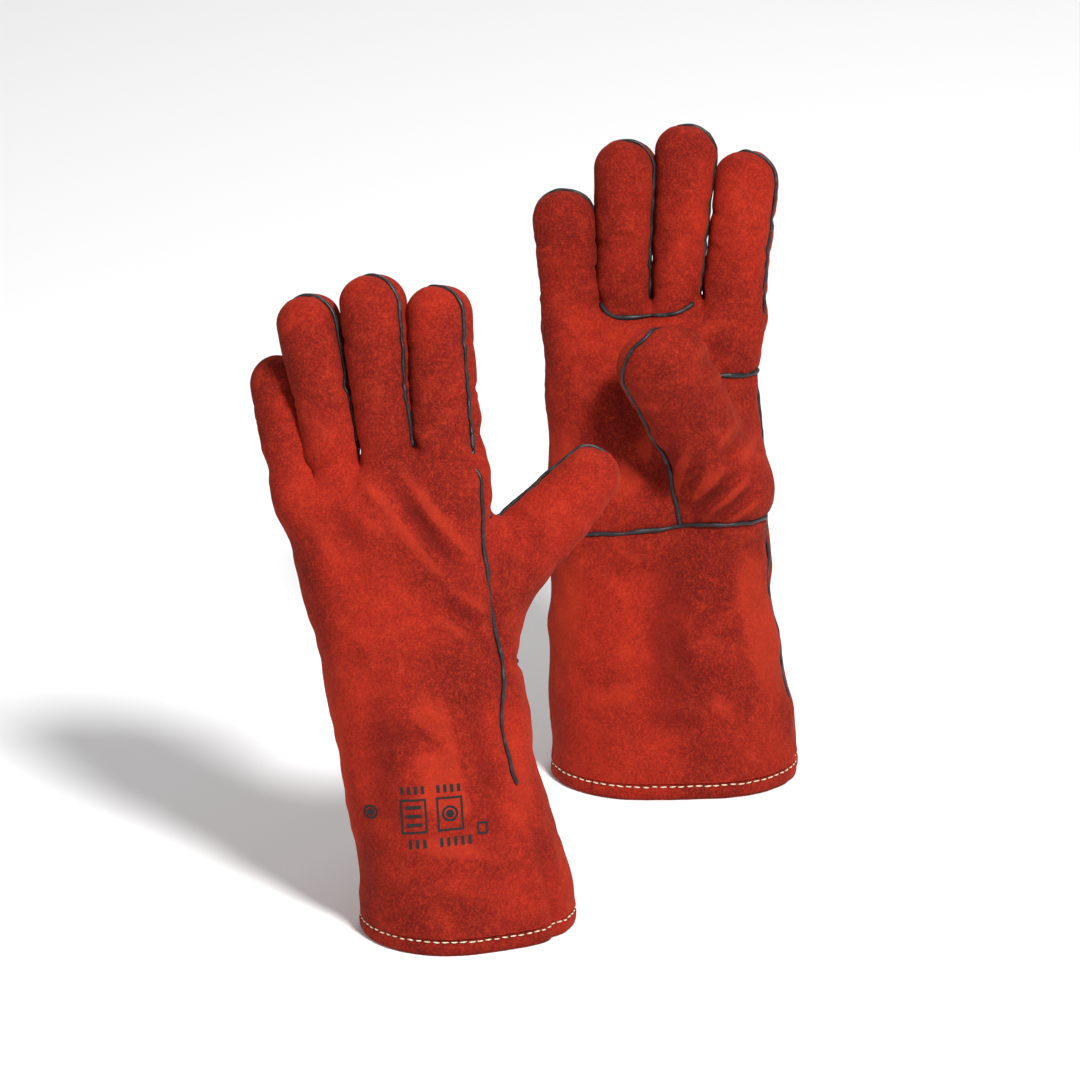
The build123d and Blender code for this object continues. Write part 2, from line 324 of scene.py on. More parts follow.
# ------------------------ skin
def surface_net(f, low, high, step):
    """Quads on the surface where the field f is zero: (points, faces)."""
    axes = [np.arange(low[k], high[k] + step, step) for k in range(3)]
    n = [len(a) for a in axes]
    grid = np.empty(n, np.float32)
    for i, x in enumerate(axes[0]):
        yy, zz = np.meshgrid(axes[1], axes[2], indexing="ij")
        pts = np.stack([np.full(yy.size, x), yy.ravel(), zz.ravel()], 1)
        grid[i] = f(pts).reshape(n[1], n[2])
    inside = grid < 0
    cells = tuple(k - 1 for k in n)

    def corner(a, dx, dy, dz):
        return a[dx : dx + cells[0], dy : dy + cells[1], dz : dz + cells[2]]

    count = sum(corner(inside, *at).astype(np.int8) for at in np.ndindex(2, 2, 2))
    active = (count > 0) & (count < 8)
    ids = np.full(cells, -1, np.int64)
    ids[active] = np.arange(active.sum())
    total = np.zeros((active.sum(), 3))
    hits = np.zeros(active.sum())
    for axis in range(3):
        for at in np.ndindex(*(1 if k == axis else 2 for k in range(3))):
            end = [1 if k == axis else v for k, v in enumerate(at)]
            v0, v1 = corner(grid, *at)[active], corner(grid, *end)[active]
            cross = (v0 < 0) != (v1 < 0)
            t = np.where(cross, v0 / np.where(cross, v0 - v1, 1), 0)
            pos = np.tile(np.array(at, float), (len(t), 1))
            pos[:, axis] = t
            total[cross] += pos[cross]
            hits[cross] += 1
    base = np.argwhere(active).astype(float)
    points = (base + total / hits[:, None]) * step + np.array([a[0] for a in axes])
    faces = []
    for axis in range(3):
        o1, o2 = [k for k in range(3) if k != axis]
        lo = [slice(None)] * 3
        hi = [slice(None)] * 3
        lo[axis], hi[axis] = slice(0, n[axis] - 1), slice(1, n[axis])
        change = inside[tuple(lo)] != inside[tuple(hi)]
        where = np.argwhere(change)
        across = where[:, [o1, o2]]
        where = where[((across > 0) & (across < [n[o1] - 1, n[o2] - 1])).all(1)]
        going_out = inside[tuple(where.T)]
        quad = []
        for d1, d2 in ((1, 1), (0, 1), (0, 0), (1, 0)):
            cell = where.copy()
            cell[:, o1] -= d1
            cell[:, o2] -= d2
            quad.append(ids[tuple(cell.T)])
        quad = np.stack(quad, 1)
        flip = going_out if axis != 1 else ~going_out
        quad[~flip] = quad[~flip][:, ::-1]
        faces.append(quad)
    return points, np.concatenate(faces)


def sides_of(faces):
    """The sides of every face, each as its two points in the order of the face."""
    return np.concatenate([faces[:, [k, (k + 1) % 4]] for k in range(4)])


def edges_of(faces):
    """Every edge of a mesh once."""
    e = sides_of(faces)
    e.sort(axis=1)
    return np.unique(e, axis=0)


def relax(points, edges, rounds, f):
    """Evens the faces out along the surface."""
    degree = np.bincount(edges.ravel(), minlength=len(points))[:, None]
    for _ in range(rounds):
        total = np.zeros_like(points)
        np.add.at(total, edges[:, 0], points[edges[:, 1]])
        np.add.at(total, edges[:, 1], points[edges[:, 0]])
        points = 0.4 * points + 0.6 * total / degree
        points = snap(points, f)
    return points


def snap(points, f, rounds=2):
    """Brings points onto the surface where the field f is zero."""
    for _ in range(rounds):
        g = gradient(f, points)
        size = np.maximum((g**2).sum(1), 0.05)
        points = points - g * (f(points) / size)[:, None]
    return points


# ------------------------ seams
SEAM_STEP = 1.2  # distance between a seam's points
GAP = 5.0  # a digit's seam ends where its next point would be further off than this


def first_exit(f, origins, directions, limit=45.0, step=0.75):
    """Where rays from inside the glove leave it; no exit gives nan."""
    origins = np.asarray(origins, float)
    directions = unit(np.asarray(directions, float))
    found = np.full(len(origins), np.nan)
    for r in np.arange(2.0, limit, step):
        out = (f(origins + directions * r) > 0) & np.isnan(found)
        found[out] = r
    low, high = found - step, found
    for _ in range(14):
        mid = (low + high) / 2
        outside = f(origins + directions * np.nan_to_num(mid, nan=1.0)[:, None]) > 0
        high = np.where(outside, mid, high)
        low = np.where(outside, low, mid)
    return origins + directions * ((low + high) / 2)[:, None]


def resample(points, spacing):
    """Points a set distance apart along a line."""
    points = np.asarray(points, float)
    s = np.concatenate([[0], np.cumsum(np.linalg.norm(np.diff(points, axis=0), axis=1))])
    n = max(2, int(round(s[-1] / spacing)) + 1)
    at = np.linspace(0, s[-1], n)
    return np.stack([np.interp(at, s, points[:, k]) for k in range(3)], 1)


def soften(points, rounds):
    """Evens a line out, with its ends held."""
    p = points.copy()
    for _ in range(rounds):
        p[1:-1] = 0.5 * p[1:-1] + 0.25 * (p[:-2] + p[2:])
    return p


def digit_seam(glove, name, f, start):
    """The seam up one side of a digit, over its tip and down the other."""
    root, hinge, back, along, reach = digit_axes(glove, name)
    a, b = np.radians(glove["digit_turn"][name])
    out_a = hinge * cos(a) + back * sin(a)
    out_b = -hinge * cos(b) + back * sin(b)
    rise = np.arange(start, reach, SEAM_STEP)
    arc = np.linspace(0, pi, 26)
    origins = [root + along * t for t in rise] + [root + along * reach] * len(arc)
    origins = np.array(origins + [root + along * t for t in rise[::-1]])
    origins[:, 0] += opening(glove, name, origins)
    directions = [out_a] * len(rise)
    directions += [(out_a if t < pi / 2 else out_b) * abs(cos(t)) + along * sin(t) for t in arc]
    directions += [out_b] * len(rise)
    p = first_exit(f, origins, directions, limit=24.0)
    # a missing point's distance is nan, which is not under GAP either
    whole = np.linalg.norm(np.diff(p, axis=0), axis=1) < GAP
    low = high = len(p) // 2
    while low > 0 and whole[low - 1]:
        low -= 1
    while high < len(p) - 1 and whole[high]:
        high += 1
    return soften(resample(p[low : high + 1], SEAM_STEP), 3)


def face_seam(glove, f, points, towards):
    """A seam across the front or back of the hand, from (from the middle line, height) points."""
    pts = np.array(points, float)
    n = 60
    s = np.concatenate([[0], np.cumsum(np.hypot(*np.diff(pts, axis=0).T))])
    at = np.linspace(0, s[-1], n)
    x = spline(s, pts[:, 0], at)
    z = spline(s, pts[:, 1], at)
    centre, width, depth, turn = section(glove, z)
    flat = width - depth
    angle = np.clip((np.abs(x) - flat) / depth, 0, 1) * pi / 2
    u = np.clip(x, -flat, flat)
    across = np.stack([np.cos(turn), np.sin(turn), 0 * z], 1)
    out = np.stack([-np.sin(turn), np.cos(turn), 0 * z], 1) * towards
    origins = np.stack([centre, np.zeros(n), z], 1) + across * u[:, None]
    directions = across * (np.sin(angle) * np.sign(x))[:, None] + out * np.cos(angle)[:, None]
    shell = first_exit(f, origins, directions, 60.0)
    return soften(resample(shell[~np.isnan(shell[:, 0])], SEAM_STEP), 2)


def side_seam(glove, f, side):
    """The seam up one edge of the cuff and hand to the finger there."""
    line = np.array(glove["side_seams"][side], float)
    z = np.arange(-8.0, KNUCKLES - 2, SEAM_STEP)
    angle = np.radians(spline(line[:, 0], line[:, 1], z))
    sign = 1.0 if side == "thumb" else -1.0
    centre, width, depth, turn = section(glove, z)
    ends = np.stack([np.cos(turn), np.sin(turn), np.zeros_like(z)], 1) * sign
    origins = np.stack([centre, np.zeros_like(z), z], 1) + ends * (width - depth)[:, None]
    directions = np.stack([np.cos(angle), np.sin(angle), np.zeros_like(z)], 1) * [sign, 1, 0]
    return first_exit(lambda p: body_field(glove, p), origins, directions, 60.0)


def digit_place(glove, name, p):
    """Points in a digit's own frame, and its reach."""
    root, hinge, back, along, reach = digit_axes(glove, name)
    q = closed(glove, name, p) - root
    return np.stack([q @ hinge, q @ back, q @ along], -1), reach


def settle(glove, p):
    """Brings every point back from the opened glove."""
    own = np.stack([digit_field(glove, n, p) for n in FINGERS], 1).argmin(1)
    out = p.copy()
    for i, name in enumerate(FINGERS):
        out[own == i] = closed(glove, name, p[own == i])
    return out


def nearest_digit(glove, p):
    """The digit that each point is on, or -1 on the hand."""
    fields = np.stack([digit_field(glove, n, p) for n in DIGITS], 1)
    best = fields.argmin(1)
    along = np.stack([digit_place(glove, n, p)[0][:, 2] for n in DIGITS], 1)
    t = along[np.arange(len(p)), best]
    own = np.array([FINGER_CUT] * 4 + [THUMB_CUT])[best]
    near = fields[np.arange(len(p)), best] < 6.0
    return np.where((t > own) & near, best, -1)


# ------------------------ relief
# Folds across a finger: (share of its length, depth in mm).
FINGER_FOLDS = ((0.36, 0.7), (0.46, 1.0), (0.74, 0.7))
SEAM_REACH = 12.0  # a seam shapes the leather up to this far off
PUFF = 1.2  # how far leather stands out between its seams
GROOVE = 1.1  # how deep it is drawn in along them
PUCKER = 0.30
# Unevenness: (height, wavelength, what is added to the seed).
SWELLS = ((0.9, 95.0, 4), (0.75, 44.0, 2), (0.30, 16.0, 3))


def waves(p, size, seed, count=14):
    """Smooth noise of about that wavelength, from -1 to 1."""
    rng = np.random.default_rng(seed)
    total = np.zeros(len(p))
    for _ in range(count):
        k = unit(rng.normal(size=3)) * 2 * pi / size * rng.uniform(0.6, 1.5)
        total += np.sin(p @ k + rng.uniform(0, 2 * pi))
    return total / np.sqrt(count)


def distance_to(points, line, reach=SEAM_REACH):
    """Distance from each point to a line of close points, capped at reach."""
    out = np.full(len(points), reach)
    low, high = line.min(0) - reach, line.max(0) + reach
    near = np.where(((points > low) & (points < high)).all(1))[0]
    for part in np.array_split(near, max(1, len(near) // 4000)):
        d = np.linalg.norm(points[part][:, None] - line[None], axis=2)
        out[part] = d.min(1)
    return out


def crease_depth(glove, p):
    """Folds in the leather's front: how far each point goes in, in mm."""
    out = np.zeros(len(p))
    q = np.stack([p[:, 0] - middle(glove, p[:, 2]), p[:, 2]], 1)
    in_front = smooth_step((2 - p[:, 1]) / 10)
    for start, end, depth, width in glove["creases"]:
        start, run = np.array(start, float), np.subtract(end, start).astype(float)
        t = np.clip(((q - start) @ run) / (run @ run), 0, 1)
        d = np.linalg.norm(q - (start + t[:, None] * run), axis=1)
        ridge = np.exp(-(((d - width * 1.9) / width) ** 2))
        out += depth * np.sin(pi * t) * in_front * (np.exp(-((d / width) ** 2)) - 0.35 * ridge)
    return out


def finger_folds(glove, p, seed):
    """Folds across the fingers where they bend: how far each point goes in, in mm."""
    out = np.zeros(len(p))
    own = nearest_digit(glove, p)
    for i, name in enumerate(DIGITS):
        at = np.flatnonzero(own == i)
        q, reach = digit_place(glove, name, p[at])
        along = q[:, 2] / reach + 0.035 * waves(q, 26.0, seed + i)
        strength = 0.6 + 0.5 * waves(q, 18.0, seed + 10 + i)
        for share, depth in FINGER_FOLDS:
            out[at] += depth * strength * np.exp(-(((along - share) / 0.035) ** 2))
    return out


def leather_move(glove, p, near, seed):
    """How far the leather stands out at points that far from a seam, in mm."""
    away = smooth_step((near - 1.0) / 9.0)
    move = PUFF * away - GROOVE * np.exp(-((near / 1.9) ** 2))
    move += PUCKER * waves(p, 9.0, seed + 1) * np.exp(-(((near - 3.5) / 3.0) ** 2))
    calm = smooth_step((p[:, 2] - 6) / 12) * (1 - 0.6 * smooth_step((p[:, 2] - 245) / 20))
    swell = sum(height * waves(p, size, seed + k) for height, size, k in SWELLS)
    move += swell * calm - crease_depth(glove, p) - finger_folds(glove, p, seed + 5)
    return np.maximum(move, -DEEPEST)


def relief(glove, p, n, seam_lines, seed):
    """The skin's points moved in and out, and how far each of them is from a seam."""
    near = np.full(len(p), SEAM_REACH)
    for line in seam_lines:
        near = np.minimum(near, distance_to(p, line))
    return p + n * leather_move(glove, p, near, seed)[:, None], near


# ------------------------ mesh objects
def put(name, points, faces, smooth=True):
    """A mesh object from points in the row frame, in metres."""
    me = bpy.data.meshes.new(name)
    me.from_pydata(np.asarray(points).tolist(), [], [list(map(int, f)) for f in faces])
    me.polygons.foreach_set("use_smooth", [smooth] * len(me.polygons))
    me.update()
    o = bpy.data.objects.new(name, me)
    bpy.context.scene.collection.objects.link(o)
    return o


def put_on(glove, name, points, faces, normals=None):
    """A mesh object from points in a glove's frame, in mm."""
    o = put(name, to_row(glove, points), faces)
    if normals is not None:
        o.data.normals_split_custom_set_from_vertices(row_turn(normals).tolist())
    return o


def part_of(points, faces, keep):
    """Which points some of a mesh's faces use, and those faces numbered by these points."""
    used = np.unique(faces[keep])
    index = np.full(len(points), -1)
    index[used] = np.arange(len(used))
    return used, index[faces[keep]]


def vertex_normals(points, faces):
    n = np.zeros_like(points)
    d1 = points[faces[:, 2]] - points[faces[:, 0]]
    d2 = points[faces[:, 3]] - points[faces[:, 1]]
    fn = np.cross(d1, d2)
    for k in range(4):
        np.add.at(n, faces[:, k], fn)
    return unit(n)


def give(obj, name, values):
    """A number for each of a mesh's points, for its material to read."""
    a = obj.data.attributes.new(name, "FLOAT", "POINT")
    a.data.foreach_set("value", np.asarray(values, np.float32))


def tangents(line):
    return unit(np.gradient(line, axis=0))


def ring_faces(rows, sides):
    """Faces between rows of points that each go once round."""
    i, j = np.meshgrid(np.arange(rows - 1), np.arange(sides), indexing="ij")
    a = (i * sides + j).ravel()
    b = (i * sides + (j + 1) % sides).ravel()
    return np.stack([a, b, b + sides, a + sides], 1).tolist()


def tube(line, normals, radius, flat=0.85, sides=8):
    """A closed round strip along a line: (points, faces). normals point out of the leather."""
    t = tangents(line)
    side = unit(np.cross(t, normals))
    up = np.cross(side, t)
    r = np.broadcast_to(radius, len(line))
    angle = np.arange(sides) * 2 * pi / sides
    ring = (
        line[:, None]
        + side[:, None] * (np.cos(angle)[None, :, None] * r[:, None, None])
        + up[:, None] * (np.sin(angle)[None, :, None] * r[:, None, None] * flat)
    )
    points = ring.reshape(-1, 3)
    n = len(line)
    faces = ring_faces(n, sides)
    faces.append(list(range(sides))[::-1])
    faces.append(list(range((n - 1) * sides, n * sides)))
    return points, faces


def joined(parts):
    """Several (points, faces) as one."""
    points, faces, base = [], [], 0
    for p, f in parts:
        points.append(np.asarray(p))
        faces += [[v + base for v in face] for face in f]
        base += len(p)
    return np.concatenate(points), faces


# ------------------------ one glove
def palm_seams(glove):
    """Seams on the palm side, from (from the middle line, height) points."""
    seams = {
        "wrist": [(-60, 127), (-30, 131), (0, 134), (10, 136), (34, 137.5), (60, 136)],
        "wing": [(10, 136), (7, 158), (8, 184), (15, 204), (27, 212.5), (42, 213.2), (62, 213.6)],
    }
    if glove is GLOVES["right"]:
        # its thumb lies over the wing's seam, which goes on down to the wrist in front of it
        seams["thumb_foot"] = [(10, 136), (8, 150), (4, 168)]
    return seams


def between(z, line):
    """x and y of a seam line at heights z."""
    order = np.argsort(line[:, 2])
    return tuple(np.interp(z, line[order, 2], line[order, k]) for k in (0, 1))


def on_palm(glove, p, seams):
    """Whether each point is on the palm's side of the two side seams."""
    ax, ay = between(p[:, 2], seams["little_side"])
    bx, by = between(p[:, 2], seams["thumb_side"])
    cross = (bx - ax) * (p[:, 1] - ay) - (by - ay) * (p[:, 0] - ax)
    return cross * glove["palm"] > 0


def panel_of(glove, p, digit, seams):
    """Which panel each point belongs to, as a name."""
    is_palm = on_palm(glove, p, seams)
    dx = p[:, 0] - middle(glove, p[:, 2])
    wrist = np.array(palm_seams(glove)["wrist"], float)
    wing = np.array(palm_seams(glove)["wing"], float)
    in_cuff = p[:, 2] < np.interp(dx, wrist[:, 0], wrist[:, 1])
    upright, across = wing[:5], wing[3:]
    in_wing = (dx > np.interp(p[:, 2], upright[:, 1], upright[:, 0])) & (
        p[:, 2] < np.interp(dx, across[:, 0], across[:, 1])
    )
    on_thumb = digit_field(glove, "thumb", p) < body_field(glove, p) - 3.0
    label = np.where(is_palm, "palm", "back_panel").astype(object)
    label[is_palm & in_wing] = "thumb_wing"
    label[on_thumb & is_palm] = "thumb_wing"
    label[is_palm & in_cuff] = "cuff_front"
    for i, name in enumerate(DIGITS):
        at = np.where(digit == i)[0]
        if len(at) == 0:
            continue
        q, _ = digit_place(glove, name, p[at])
        turn = np.radians(np.where(q[:, 0] > 0, *glove["digit_turn"][name]))
        back = q[:, 1] > np.abs(q[:, 0]) * np.tan(turn)
        label[at] = np.where(back, f"{name}_back", f"{name}_front")
    return label


def make_skin(side, inset, step):
    """The glove's surface with its fingers still opened: points, faces, normals, field."""
    glove = GLOVES[side]

    def f(p):
        return field(glove, p) + inset

    points, faces = surface_net(f, *glove["space"], step)
    points = relax(points, edges_of(faces), 5, f)
    return points, faces, unit(gradient(f, points)), f


def cut_at_floor(glove, points, faces, height):
    """Drops what is under a level cut, with the new edge exactly on it: points used, points, faces."""
    z = to_row(glove, points)[:, 2] * 1000
    keep = (z[faces] > height).any(1)
    used, faces = part_of(points, faces, keep)
    points, z = points[used].copy(), z[used]
    low = z < height
    points[low, 2] += (height - z[low]) / cos(LEAN)
    return used, points, faces


def rim_of(faces):
    """The open edge's points in order."""
    seen = {}
    for a, b in sides_of(faces).tolist():
        key = (min(a, b), max(a, b))
        seen[key] = None if key in seen else (a, b)
    step = {a: b for pair in seen.values() if pair for a, b in [pair]}
    start = next(iter(step))
    loop = [start]
    while step[loop[-1]] != start:
        loop.append(step[loop[-1]])
    return loop


def paint(obj, material):
    obj.data.materials.clear()
    obj.data.materials.append(material)


def joint_span(side, part):
    """Where leather starts and ends bending at a digit, or else at the wrist, in the row frame."""
    glove = GLOVES[side]
    if part not in DIGITS:
        x = float(middle(glove, WRIST))
        return to_row(glove, [x, 0, WRIST - WRIST_BEND]), to_row(glove, [x, 0, WRIST + WRIST_BEND])
    root, _, back, along, _ = digit_axes(glove, part)
    if (side, part) == ("right", "thumb"):
        start = root + along * THUMB_CUT - back * LYING_START
        end = start + (along * LYING_RUN[0] - back * LYING_RUN[1]) * LYING_LENGTH
        return to_row(glove, start), to_row(glove, end)
    low, high = THUMB_BEND if part == "thumb" else FINGER_BEND
    return to_row(glove, root + along * low), to_row(glove, root + along * high)


def bend(obj, side, part):
    """Bakes the object's transform into its mesh; where leather of the cuff and hand would bend at the
    wrist, and a digit's at its own hinge, is worked out but not used.
    """
    start, end = joint_span(side, part)
    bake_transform(obj)


def seams_of(side, f):
    """Every seam of a glove as a line in its opened frame."""
    glove = GLOVES[side]

    def hand(p):
        return hand_field(glove, p)

    seams = {}
    for name in DIGITS:
        seams[name] = digit_seam(glove, name, f, -8.0 if name == "thumb" else 2.0)
    for edge, name in (("thumb", "index"), ("little", "little")):
        line = side_seam(glove, f, edge)
        ends = seams[name][[0, -1]]
        onward = ends[ends[:, 0].argmax() if edge == "thumb" else ends[:, 0].argmin()]
        line = line[line[:, 2] < onward[2] - 5]
        seams[f"{edge}_side"] = soften(resample(np.vstack([line, onward]), SEAM_STEP), 3)
    for name, line in palm_seams(glove).items():
        line = face_seam(glove, hand if name == "wing" else f, line, glove["palm"])
        seams[name] = line[on_palm(glove, line, seams)]
    seams["crotch"] = face_seam(glove, hand, glove["crotch_seam"], glove["palm"])
    return seams


def runs_of(owner):
    """(first, last, owner) of each run of equal owners, one point longer at both ends."""
    edges = np.flatnonzero(np.diff(owner)) + 1
    for low, high in zip([0, *edges], [*edges, len(owner)]):
        yield max(low - 1, 0), min(high + 1, len(owner)), owner[low]


WELT_RADIUS = 1.15
WELT_LIFT = 0.75  # how far a welt's middle stands out of its seam
WELT_END = 0.4  # a welt's ends are thinner by this factor


def piping_strips(side, seams, f, seed):
    """The black welts standing out of the seams, one mesh for each body they are on."""
    glove = GLOVES[side]
    strips = {}
    for k, (key, line) in enumerate(seams.items()):
        if key.endswith("side"):
            line = line[line[:, 2] > glove["piping_end"]]
        if len(line) < 5:
            continue
        n = unit(gradient(f, line))
        thick = WELT_RADIUS * (1 + 0.18 * waves(line, 12.0, seed + 31 + k))
        thick[[0, -1]] *= WELT_END
        lift = WELT_LIFT + 0.15 * waves(line, 15.0, seed + 41 + k)
        lift += leather_move(glove, line, np.zeros(len(line)), seed)
        at = settle(glove, line + n * lift[:, None])
        at += unit(np.cross(tangents(line), n)) * (0.35 * waves(line, 20.0, seed + 51 + k))[:, None]
        for low, high, owner in runs_of(nearest_digit(glove, line)):
            if high - low > 3:
                body = DIGITS[owner] if owner >= 0 else "hand"
                part = tube(at[low:high], n[low:high], thick[low:high])
                strips.setdefault(body, []).append(part)
    for body, parts in strips.items():
        points, faces = joined(parts)
        o = put_on(glove, f"{side}_{body}_piping", points, faces)
        paint(o, PIPING)
        bend(o, side, body)
        welts = (f"{body}_welt",) if body in DIGITS else ("hand_welts", "cuff_welts")
        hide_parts(*(f"{side}_{n}" for n in welts))


# The folded hem in section: (inwards, height) in mm, from the skin's edge down and up inside.
HEM_PROFILE = [
    (0.0, 9.0), (0.12, 8.4), (0.45, 7.9), (0.45, 7.5), (0.05, 7.0), (-0.35, 5.8), (-0.45, 4.2),
    (-0.35, 2.6), (0.05, 1.2), (0.9, 0.3), (2.0, 0.0), (3.2, 0.15), (4.4, 0.9), (5.2, 2.2),
    (5.5, 4.5), (5.5, 7.0), (5.2, 7.7), (5.5, 8.4), (5.6, 11.0), (5.2, 12.2), (3.9, 12.4),
]
HEM_UNEVEN = 0.22
STITCH_HEIGHT = 7.7
STITCH_PITCH = 4.6
STITCH_LENGTH = 3.3
STITCH_ROWS = ((0.16, 1), (5.7, -1))  # (how far inwards, 1 for out of the glove or -1 into it)
THREAD_STEP = 0.4  # distance between the points of a thread's path
THREAD_RADIUS = 0.36


def inwards(loop):
    """Level directions into a loop, at its points."""
    t = unit((np.roll(loop, -3, 0) - np.roll(loop, 3, 0)) * [1, 1, 0])
    into = np.stack([-t[:, 1], t[:, 0], 0 * t[:, 0]], 1)
    return into if ((loop.mean(0) - loop) * into).sum() >= 0 else -into


def face_outward(obj):
    """Turns every face's front out of the closed or ring-shaped solid."""
    bm = bmesh.new()
    bm.from_mesh(obj.data)
    bmesh.ops.recalc_face_normals(bm, faces=bm.faces)
    bm.to_mesh(obj.data)
    bm.free()


def hem_fold(side, loop, inward, seed):
    """The folded edge of the cuff."""
    rows = []
    for depth, height in HEM_PROFILE:
        p = loop + inward * depth
        p[:, 2] = height
        if 0.3 < height < CUT_HEIGHT - 0.2:
            p += inward * (HEM_UNEVEN * waves(p, 13.0, seed + 71))[:, None]
        rows.append(p)
    hem = put(f"{side}_hem", np.concatenate(rows) / 1000.0, ring_faces(len(rows), len(loop)))
    if np.array(hem.data.polygons[0].normal) @ -inward[0] < 0:
        hem.data.flip_normals()
    heights = np.repeat([height for _, height in HEM_PROFILE], len(loop))
    give(hem, "seam", np.exp(-((heights - STITCH_HEIGHT) ** 2) / 1.2))
    give(hem, "shade", np.zeros(len(heights)))
    paint(hem, SUEDE)
    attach(hem, f"{side}_cuff")
    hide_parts(f"{side}_cuff_hem")


def stitch(line, centre, turn, rng):
    """One stitch along a piece of the thread's path: (points, faces)."""
    t = np.linspace(0, 1, len(line))
    line[:, 2] += rng.uniform(-0.22, 0.22) + (t - 0.5) * rng.uniform(-0.35, 0.35)
    ahead = tangents(line)
    out = unit(np.stack([ahead[:, 1], -ahead[:, 0], 0 * t], 1))
    if ((line - centre) * out).sum() < 0:
        out = -out
    out = out * turn
    line += out * (0.30 * np.sin(pi * t) - 0.16)[:, None]
    round_ends = np.sqrt(np.clip(np.sin(pi * np.clip(t, 0.04, 0.96)), 0.05, 1))
    return tube(line, out, THREAD_RADIUS * round_ends + 0.05, flat=0.9, sides=6)


def hem_thread(side, loop, inward, seed):
    """The rows of thread on both sides of the hem."""
    parts = []
    rng = np.random.default_rng(seed + 77)
    for depth, turn in STITCH_ROWS:
        path = loop + inward * depth
        path[:, 2] = STITCH_HEIGHT
        path = resample(np.vstack([path, path[:1]]), THREAD_STEP)
        total = len(path) * THREAD_STEP
        count = int(total / STITCH_PITCH)
        for k in range(count):
            at = k * total / count
            length = STITCH_LENGTH + rng.uniform(-0.3, 0.3)
            first, last = int(at / THREAD_STEP), int((at + length) / THREAD_STEP)
            line = path[first : last + 1].copy()
            if len(line) >= 5:
                parts.append(stitch(line, loop.mean(0), turn, rng))
    points, faces = joined(parts)
    thread = put(f"{side}_hem_stitches", points / 1000.0, faces)
    face_outward(thread)
    paint(thread, THREAD)
    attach(thread, f"{side}_cuff")


def lining_pieces(side, seed):
    """The cloth inside: canvas in the gauntlet, fleece in the hand and digits."""
    glove = GLOVES[side]
    points, faces, normals, f = make_skin(side, LINING_INSET, LINING_STEP)
    used, points, faces = cut_at_floor(glove, points, faces, LINING_CUT)
    normals = normals[used]
    points = points + normals * (0.35 * waves(points, 12.0, seed + 81))[:, None]
    owner = nearest_digit(glove, points[faces].mean(1))
    final = settle(glove, points)
    smooth = -vertex_normals(final, faces)
    faces = faces[:, ::-1]
    in_cuff = points[faces].mean(1)[:, 2] < WRIST
    shares = {"cuff": (owner < 0) & in_cuff, "hand": (owner < 0) & ~in_cuff}
    shares.update((name, owner == i) for i, name in enumerate(DIGITS))
    for name, keep in shares.items():
        part, own = part_of(final, faces, keep)
        o = put_on(glove, f"{side}_{name}_lining_cloth", final[part], own, smooth[part])
        paint(o, CANVAS if name == "cuff" else FLEECE)
        bend(o, side, name)
        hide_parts(f"{side}_{name}_lining")


# The printed block on the left cuff: (kind, x, z, width, height), from the glove's X=0 and the hem.
PRINT = [
    ("box", -29.0, 64.0, 13.5, 17.5),
    ("box", -10.5, 64.0, 13.5, 17.5),
    ("bars", -29.0, 64.0, 8.0, 9.0),
    ("disc", -10.5, 64.0, 8.4, 8.4),
    ("row", -29.0, 77.0, 14.0, 4.0),
    ("row", -10.5, 77.0, 14.0, 4.0),
    ("row", -28.0, 50.0, 11.0, 4.4),
    ("row", -8.5, 50.0, 18.0, 4.4),
    ("box", 5.5, 55.0, 5.6, 6.4),
    ("disc", -51.0, 66.0, 7.6, 7.6),
]
PRINT_CENTRE = (-20.0, 64.0)
PRINT_TILT = radians(4.0)
INK_CELL = 1.2  # size of the quads that follow the leather
INK_LINE = 1.15
INK_LIFT = 0.00014  # metres from the leather to the ink


def print_shapes():
    """Flat quads of the printed block: plain outlines, bars, dots and dashes."""
    quads = []

    def bar(x0, z0, x1, z1):
        nx = max(1, int(abs(x1 - x0) / INK_CELL))
        nz = max(1, int(abs(z1 - z0) / INK_CELL))
        for i in range(nx):
            for k in range(nz):
                a, b = x0 + (x1 - x0) * i / nx, x0 + (x1 - x0) * (i + 1) / nx
                c, d = z0 + (z1 - z0) * k / nz, z0 + (z1 - z0) * (k + 1) / nz
                quads.append([(a, c), (b, c), (b, d), (a, d)])

    def ring(x, z, r, w, sides=28):
        for k in range(sides):
            a, b = 2 * pi * k / sides, 2 * pi * (k + 1) / sides
            corners = ((a, r), (b, r), (b, r - w), (a, r - w))
            quads.append([(x + q * cos(t), z + q * sin(t)) for t, q in corners])

    for kind, x, z, w, h in PRINT:
        left, right, low, high = x - w / 2, x + w / 2, z - h / 2, z + h / 2
        if kind == "box":
            bar(left, low, right, low + INK_LINE)
            bar(left, high - INK_LINE, right, high)
            bar(left, low + INK_LINE, left + INK_LINE, high - INK_LINE)
            bar(right - INK_LINE, low + INK_LINE, right, high - INK_LINE)
        elif kind == "bars":
            for k in range(3):
                y = low + k * h / 2
                bar(left, y - 0.9, right, y + 0.9)
        elif kind == "disc":
            ring(x, z, w / 2, 1.2)
            ring(x, z, w / 4, w / 4 - 0.02, 18)
        else:
            count = max(3, int(w / 3.1))
            for k in range(count):
                c = left + w * (k + 0.5) / count
                bar(c - 0.85, low, c + 0.85, high)
    return quads


